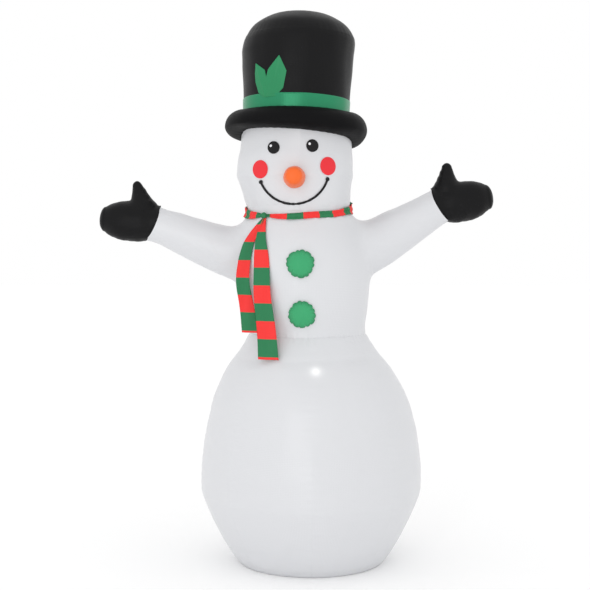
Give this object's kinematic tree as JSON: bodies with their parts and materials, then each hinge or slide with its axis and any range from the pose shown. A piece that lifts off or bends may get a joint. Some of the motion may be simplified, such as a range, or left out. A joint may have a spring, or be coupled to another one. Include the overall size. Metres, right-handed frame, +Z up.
{
  "type": "inflatable yard snowman",
  "caption": "Tall inflatable snowman of sewn cloth panels with top hat, scarf, open arms, built-in blower, lights, zip and ground straps",
  "frame": {"origin": "on the ground, at the centre of the base disc under the lower body", "axes": "+Z up, the face looks along -Y, +X to the right of a viewer who faces the snowman"},
  "size_m": [1.7134, 0.98, 2.3999],
  "materials": {
    "white_cloth": "satin woven polyester, translucent white",
    "black_cloth": "satin woven polyester, black",
    "green_cloth": "satin woven polyester, green",
    "scarf_cloth": "satin woven polyester, red and green stripes",
    "face_cloth": "satin applique, black",
    "cheek_cloth": "satin applique, red",
    "nose_cloth": "stuffed satin, orange",
    "webbing": "woven webbing",
    "zip_cloth": "woven zip tape",
    "zip_teeth": "moulded coil",
    "zip_metal": "die-cast, nickel plated",
    "blower_plastic": "moulded, fine texture",
    "rotor_plastic": "moulded",
    "magnet": "sintered ring",
    "windings": "enamelled copper",
    "bearing_steel": "ground",
    "screw_steel": "zinc plated",
    "grommet_brass": "pressed",
    "lead_rubber": "white cable sheath",
    "lamp_plastic": "white socket",
    "lamp_lens": "clear cap"
  },
  "bodies": {
    "root": {"belly_panel_1": "white_cloth", "belly_panel_2": "white_cloth", "belly_panel_3": "white_cloth", "belly_panel_4": "white_cloth", "belly_panel_5": "white_cloth", "belly_panel_6": "white_cloth", "belly_panel_7": "white_cloth", "belly_panel_8": "white_cloth", "base_disc": "white_cloth", "neck_collar": "white_cloth", "torso_front_left": "white_cloth", "torso_front_right": "white_cloth", "torso_back": "white_cloth", "scarf_wrap": "scarf_cloth", "scarf_knot": "green_cloth", "button_upper": "green_cloth", "button_lower": "green_cloth", "blower_sleeve": "white_cloth", "clamp_ring": "blower_plastic", "clamp_screws": "screw_steel", "intake_grille": "blower_plastic", "fan_housing": "blower_plastic", "motor_mount": "blower_plastic", "motor_stator": "windings", "motor_bearings": "bearing_steel", "power_inlet": "blower_plastic", "light_lead": "lead_rubber", "lamp_sockets": "lamp_plastic", "lamp_lenses": "lamp_lens", "light_ties": "white_cloth", "zip_tapes": "zip_cloth", "zip_chain": "zip_teeth", "anchor_straps": "webbing", "anchor_grommets": "grommet_brass", "tether_tabs": "webbing"},
    "head": {"head_front_left": "white_cloth", "head_front_right": "white_cloth", "head_back": "white_cloth", "eyes": "face_cloth", "cheeks": "cheek_cloth", "mouth": "face_cloth", "nose": "nose_cloth", "hat_brim": "black_cloth", "hat_crown_wall": "black_cloth", "hat_crown_top": "black_cloth", "hat_band": "green_cloth", "holly_leaves": "green_cloth"},
    "arm_left": {"sleeve_left": "white_cloth", "mitten_left": "black_cloth"},
    "arm_right": {"sleeve_right": "white_cloth", "mitten_right": "black_cloth"},
    "tail_front": {"scarf_tail_front": "scarf_cloth"},
    "tail_back": {"scarf_tail_back": "scarf_cloth"},
    "fan_rotor": {"impeller": "rotor_plastic", "rotor_magnet": "magnet", "motor_shaft": "bearing_steel"},
    "slider": {"zip_slider": "zip_metal"},
    "pull": {"zip_pull": "zip_metal"},
    "ring_left": {"tether_ring_left": "zip_metal"},
    "ring_right": {"tether_ring_right": "zip_metal"}
  },
  "joints": [
    {"name": "head_nod", "type": "hinge", "parent": "root", "child": "head", "pos_m": [-0.058, 0, 1.54], "axis": [1, 0, 0], "range_deg": [-3, 3], "stiffness_Nm_per_rad": 70, "springref_deg": -0.37},
    {"name": "arm_left_wave", "type": "hinge", "parent": "root", "child": "arm_left", "pos_m": [-0.303, 0, 1.337], "axis": [0, 1, 0], "range_deg": [-10, 10], "stiffness_Nm_per_rad": 30, "springref_deg": 0.95},
    {"name": "arm_right_wave", "type": "hinge", "parent": "root", "child": "arm_right", "pos_m": [0.237, 0, 1.364], "axis": [0, -1, 0], "range_deg": [-10, 10], "stiffness_Nm_per_rad": 30, "springref_deg": 0.83},
    {"name": "fan_spin", "type": "hinge", "parent": "root", "child": "fan_rotor", "pos_m": [0, 0.4, 0.14], "axis": [0, 1, 0], "continuous": true},
    {"name": "zip_slide", "type": "slide", "parent": "root", "child": "slider", "axis": [0.3297, 0.3297, 0.8847], "range_m": [0, 0.208]},
    {"name": "zip_pull_flip", "type": "hinge", "parent": "slider", "child": "pull", "pos_m": [0.25717, 0.25717, 0.04445], "axis": [0.7071, -0.7071, 0], "range_deg": [-20, 110]},
    {"name": "tail_front_swing", "type": "hinge", "parent": "root", "child": "tail_front", "pos_m": [-0.18318, -0.2067, 1.492], "axis": [-0.809, 0.5878, 0], "range_deg": [0, 45]},
    {"name": "tail_back_swing", "type": "hinge", "parent": "root", "child": "tail_back", "pos_m": [-0.2397, -0.15018, 1.492], "axis": [-0.5878, 0.809, 0], "range_deg": [0, 45]},
    {"name": "tether_ring_left_swing", "type": "hinge", "parent": "root", "child": "ring_left", "pos_m": [-0.20314, 0.20276, 1.44499], "axis": [0.766, 0.6428, 0], "range_deg": [0, 140]},
    {"name": "tether_ring_right_swing", "type": "hinge", "parent": "root", "child": "ring_right", "pos_m": [0.13714, 0.20276, 1.44499], "axis": [0.766, -0.6428, 0], "range_deg": [0, 140]}
  ]
}
